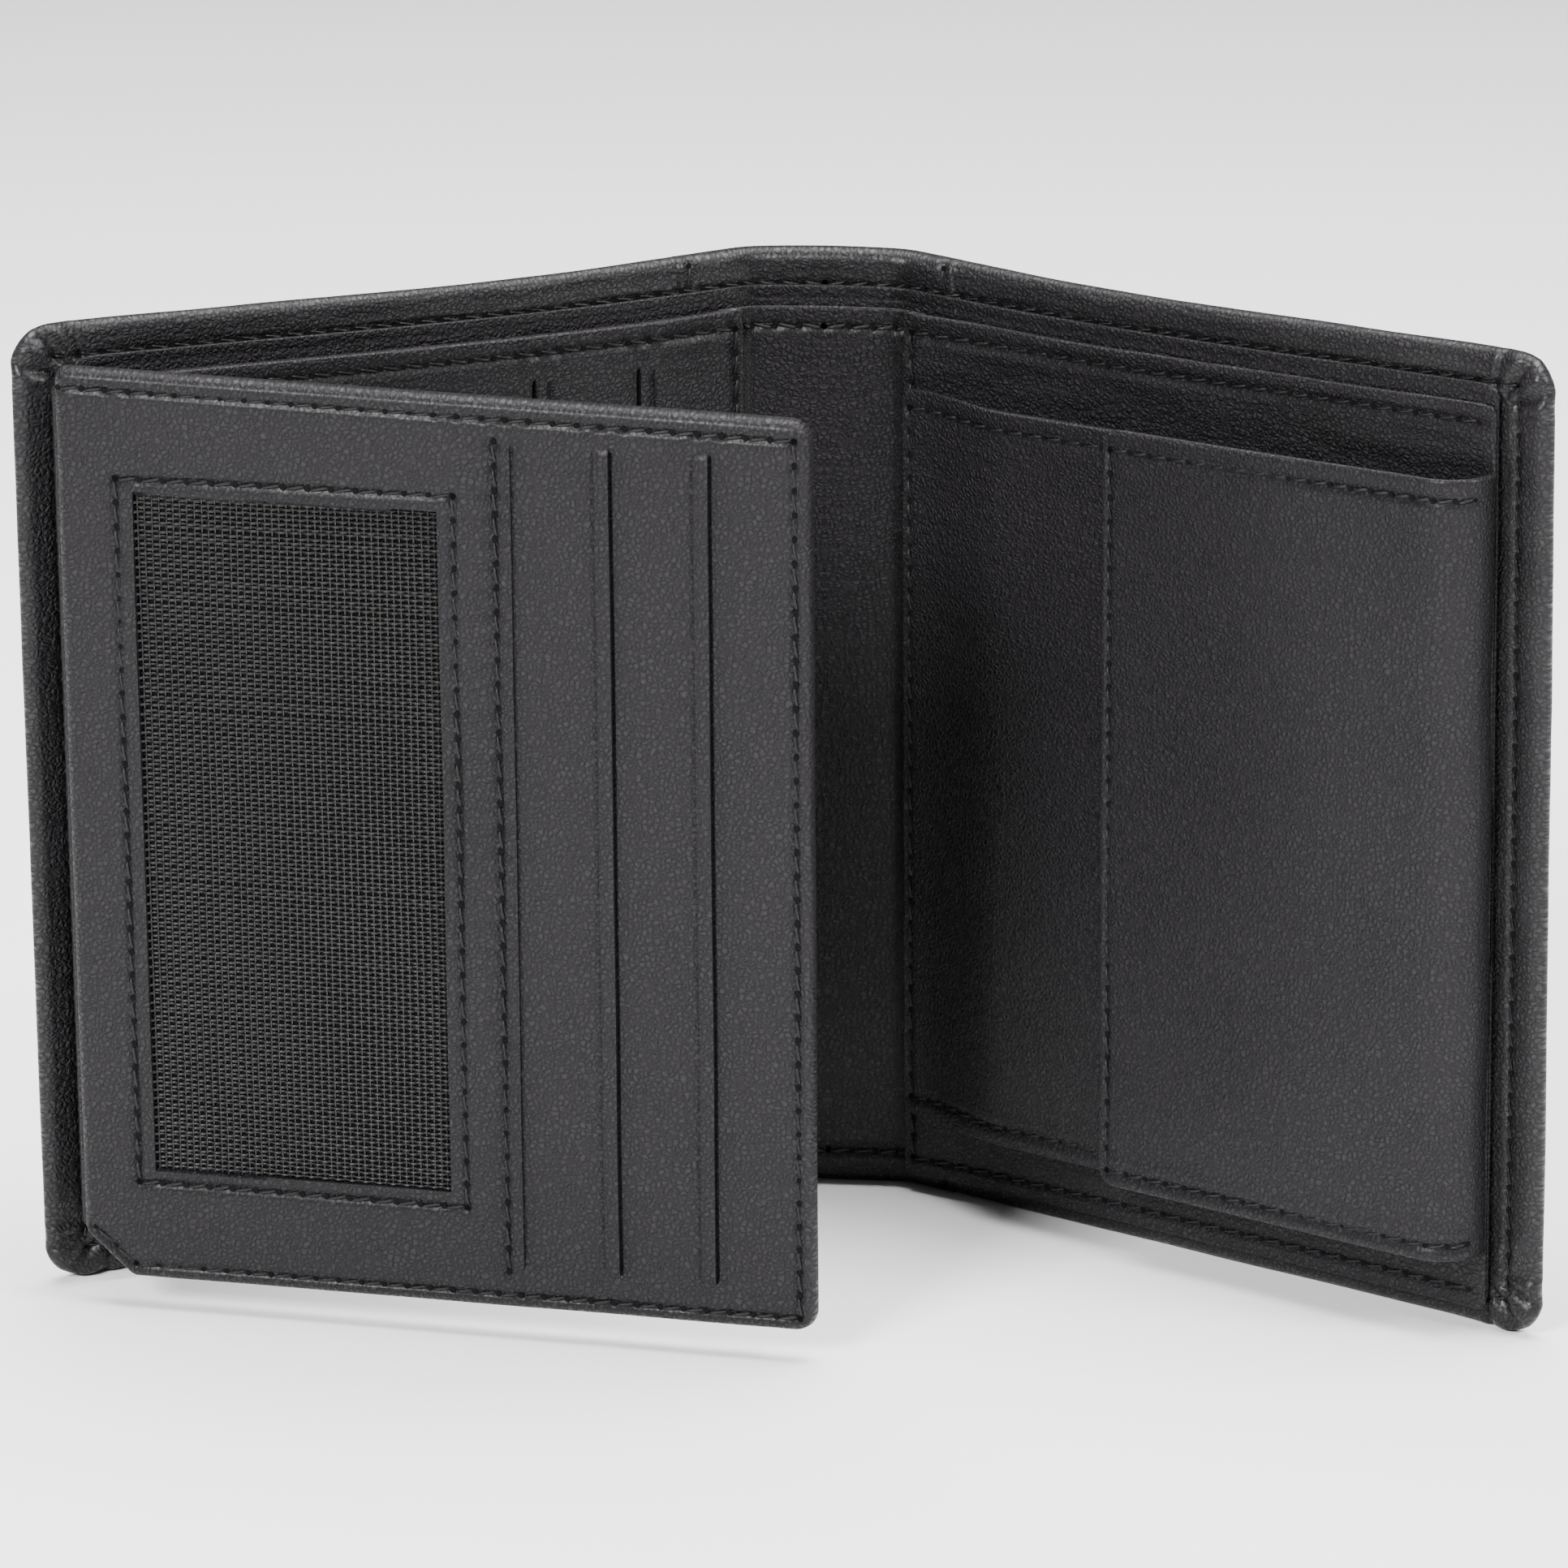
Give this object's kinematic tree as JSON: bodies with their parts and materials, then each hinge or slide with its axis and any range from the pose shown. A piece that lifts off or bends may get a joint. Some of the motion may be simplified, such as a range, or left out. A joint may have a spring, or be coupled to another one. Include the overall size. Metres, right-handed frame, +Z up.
{
  "type": "trifold wallet",
  "caption": "Upright leather wallet with a spine between two folding covers, a hinged card flap with a mesh window, and a lidded coin pocket.",
  "frame": {"origin": "bottom centre of the bounding box of the wallet as it stands half open", "axes": "+X along the spine towards the coin pocket half, -Y towards the person who looks into the open wallet, +Z up"},
  "size_m": [0.1828, 0.0696, 0.12],
  "materials": {
    "cover_leather": "black nappa, fine grain, satin, turned and stitched edges",
    "inner_leather": "black nappa, fine grain, satin",
    "flap_leather": "black nappa, smooth and taut, satin",
    "lining_cloth": "black woven lining, matt",
    "window_mesh": "black plain-weave nylon mesh with slight glints",
    "stiffener_board": "bonded leather board, matt",
    "stud_steel": "dark nickel-plated press stud"
  },
  "bodies": {
    "spine": {"spine_cover": "cover_leather", "spine_lining": "lining_cloth", "spine_note_divider": "inner_leather", "spine_inner_strip": "inner_leather"},
    "left_cover": {"left_cover_leather": "cover_leather", "left_cover_board": "stiffener_board", "left_note_lining": "lining_cloth", "left_note_divider": "inner_leather", "left_panel_backing": "lining_cloth", "left_card_ply_1": "lining_cloth", "left_card_ply_2": "lining_cloth", "left_card_panel": "inner_leather", "flap_hinge_base": "inner_leather"},
    "flap_strip": {"flap_hinge_welt": "inner_leather"},
    "flap": {"flap_back_leather": "inner_leather", "flap_id_ply": "lining_cloth", "flap_card_ply_1": "lining_cloth", "flap_card_ply_2": "lining_cloth", "flap_window_mesh": "window_mesh", "flap_front_leather": "flap_leather"},
    "right_cover": {"right_cover_leather": "cover_leather", "right_cover_board": "stiffener_board", "right_note_lining": "lining_cloth", "right_note_divider": "inner_leather", "right_inner_panel": "inner_leather", "coin_pocket_back": "lining_cloth", "coin_pocket_gusset": "inner_leather", "coin_pocket_front": "inner_leather", "coin_lid_side": "inner_leather", "snap_stud": "stud_steel"},
    "coin_lid": {"coin_lid_leather": "flap_leather", "coin_lid_lining": "lining_cloth", "coin_lid_board": "stiffener_board", "snap_socket": "stud_steel"}
  },
  "joints": [
    {"name": "left_fold", "type": "hinge", "parent": "spine", "child": "left_cover", "pos_m": [-0.00993, 0.03176, 0.06], "axis": [0, 0, 1], "range_deg": [-30.5, 65.2]},
    {"name": "right_fold", "type": "hinge", "parent": "spine", "child": "right_cover", "pos_m": [0.00993, 0.03176, 0.06], "axis": [0, 0, -1], "range_deg": [-30.5, 53.8]},
    {"name": "flap_hinge", "type": "hinge", "parent": "left_cover", "child": "flap_strip", "pos_m": [-0.08521, -0.0199, 0.06], "axis": [0, 0, -1], "range_deg": [-39.8, 18.7]},
    {"name": "flap_swing", "type": "hinge", "parent": "flap_strip", "child": "flap", "pos_m": [-0.08521, -0.0199, 0.06], "axis": [0, 0, -1], "range_deg": [0, 150]},
    {"name": "lid_swing", "type": "hinge", "parent": "right_cover", "child": "coin_lid", "pos_m": [0.08302, -0.02028, 0.06], "axis": [0, 0, 1], "range_deg": [0, 212]}
  ],
  "couplings": [
    {"joint": "flap_hinge", "follows": "left_fold", "ratio": -0.6089}
  ]
}
